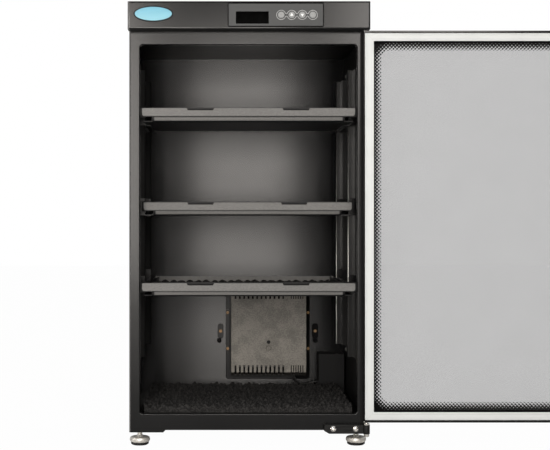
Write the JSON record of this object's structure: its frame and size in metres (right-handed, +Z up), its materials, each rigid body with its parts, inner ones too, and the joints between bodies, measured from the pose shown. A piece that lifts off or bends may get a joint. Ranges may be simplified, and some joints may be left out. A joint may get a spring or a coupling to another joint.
{
  "type": "desiccator cabinet",
  "caption": "Black sheet-steel dry cabinet with a hinged glass door, sliding foam-lined trays on slotted uprights, a dehumidifying unit and levelling feet.",
  "frame": {"origin": "on the floor, midway between the four levelling feet", "axes": "+X towards the hinge side, which is on the right seen from the front; -Y out of the front; +Z up"},
  "size_m": [0.7823, 0.4035, 0.734],
  "materials": {
    "body_paint": "satin black powder coat",
    "inner_paint": "satin black paint",
    "tray_paint": "gloss black paint",
    "bar_grey": "fine brushed grey",
    "badge": "gloss",
    "bezel": "satin grey",
    "display": "gloss black",
    "board": "matt",
    "button": "satin",
    "black_plastic": "moulded black",
    "unit_plastic": "mottled grey moulding",
    "nylon": "natural",
    "nickel": "bright nickel plate",
    "zinc": "zinc plate",
    "brass": "bright",
    "gasket": "off-white vinyl",
    "rubber": "matt black",
    "foam": "open-cell charcoal foam",
    "glass": "clear tempered glass"
  },
  "bodies": {
    "cabinet": {"cabinet_shell": "body_paint", "back_panel": "inner_paint", "front_frame": "body_paint", "floor_pan": "inner_paint", "ceiling_panel": "inner_paint", "header_fascia": "body_paint", "badge_plate": "badge", "control_bezel": "bezel", "display_window": "display", "control_board": "board", "shelf_uprights": "inner_paint", "runners_left": "inner_paint", "runners_right": "inner_paint", "shelf_screws": "nickel", "hinge_bracket": "body_paint", "hinge_pins": "nickel", "hinge_screws": "nickel", "upper_hinge_plate": "inner_paint", "unit_housing": "unit_plastic", "unit_mount_plate": "inner_paint", "unit_clamps": "inner_paint", "unit_screws": "brass", "desiccant_cassette": "zinc", "heater_plate": "zinc", "shutter_spring": "zinc", "rear_vent_cover": "body_paint", "unit_lead": "black_plastic", "power_box": "black_plastic", "power_inlet": "black_plastic", "floor_foam": "foam", "foot_pads": "rubber"},
    "door": {"door_frame": "body_paint", "door_gasket": "gasket", "door_glass": "glass", "door_bushes": "nylon", "lock_body": "nickel", "door_grip": "black_plastic"},
    "lock": {"lock_plug": "nickel", "lock_cam": "zinc"},
    "shutter": {"shutter_carriage": "zinc"},
    "shelf_1": {"tray_1": "tray_paint", "front_bar_1": "bar_grey", "end_caps_1": "black_plastic", "foam_1": "foam"},
    "shelf_2": {"tray_2": "tray_paint", "front_bar_2": "bar_grey", "end_caps_2": "black_plastic", "foam_2": "foam"},
    "shelf_3": {"tray_3": "tray_paint", "front_bar_3": "bar_grey", "end_caps_3": "black_plastic", "foam_3": "foam"},
    "button_menu": {"button_menu": "button"},
    "button_up": {"button_up": "button"},
    "button_down": {"button_down": "button"},
    "button_set": {"button_set": "button"},
    "foot_front_left": {"foot_front_left": "nickel"},
    "foot_front_right": {"foot_front_right": "nickel"},
    "foot_rear_left": {"foot_rear_left": "nickel"},
    "foot_rear_right": {"foot_rear_right": "nickel"}
  },
  "joints": [
    {"name": "door_hinge", "type": "hinge", "parent": "cabinet", "child": "door", "pos_m": [0.193, -0.188, 0.4], "axis": [0, 0, 1], "range_deg": [-180, 0]},
    {"name": "lock_turn", "type": "hinge", "parent": "door", "child": "lock", "pos_m": [0.549, -0.19, 0.34], "axis": [0, 1, 0], "range_deg": [-90, 0]},
    {"name": "shelf_1_slide", "type": "slide", "parent": "cabinet", "child": "shelf_1", "axis": [0, -1, 0], "range_m": [-0.05, 0.15]},
    {"name": "shelf_2_slide", "type": "slide", "parent": "cabinet", "child": "shelf_2", "axis": [0, -1, 0], "range_m": [-0.002, 0.198]},
    {"name": "shelf_3_slide", "type": "slide", "parent": "cabinet", "child": "shelf_3", "axis": [0, -1, 0], "range_m": [-0.0515, 0.1485]},
    {"name": "shutter_slide", "type": "slide", "parent": "cabinet", "child": "shutter", "axis": [1, 0, 0], "range_m": [0, 0.0041], "stiffness_N_per_m": 60, "deforming": ["shutter_spring"]},
    {"name": "button_menu_press", "type": "slide", "parent": "cabinet", "child": "button_menu", "axis": [0, 1, 0], "range_m": [0, 0.0008], "stiffness_N_per_m": 400},
    {"name": "button_up_press", "type": "slide", "parent": "cabinet", "child": "button_up", "axis": [0, 1, 0], "range_m": [0, 0.0008], "stiffness_N_per_m": 400},
    {"name": "button_down_press", "type": "slide", "parent": "cabinet", "child": "button_down", "axis": [0, 1, 0], "range_m": [0, 0.0008], "stiffness_N_per_m": 400},
    {"name": "button_set_press", "type": "slide", "parent": "cabinet", "child": "button_set", "axis": [0, 1, 0], "range_m": [0, 0.0008], "stiffness_N_per_m": 400},
    {"name": "foot_front_left_turn", "type": "hinge", "parent": "cabinet", "child": "foot_front_left", "pos_m": [-0.1813, -0.14, 0.02], "axis": [0, 0, 1], "continuous": true},
    {"name": "foot_front_right_turn", "type": "hinge", "parent": "cabinet", "child": "foot_front_right", "pos_m": [0.1813, -0.14, 0.02], "axis": [0, 0, 1], "continuous": true},
    {"name": "foot_rear_left_turn", "type": "hinge", "parent": "cabinet", "child": "foot_rear_left", "pos_m": [-0.1813, 0.14, 0.02], "axis": [0, 0, 1], "continuous": true},
    {"name": "foot_rear_right_turn", "type": "hinge", "parent": "cabinet", "child": "foot_rear_right", "pos_m": [0.1813, 0.14, 0.02], "axis": [0, 0, 1], "continuous": true}
  ]
}
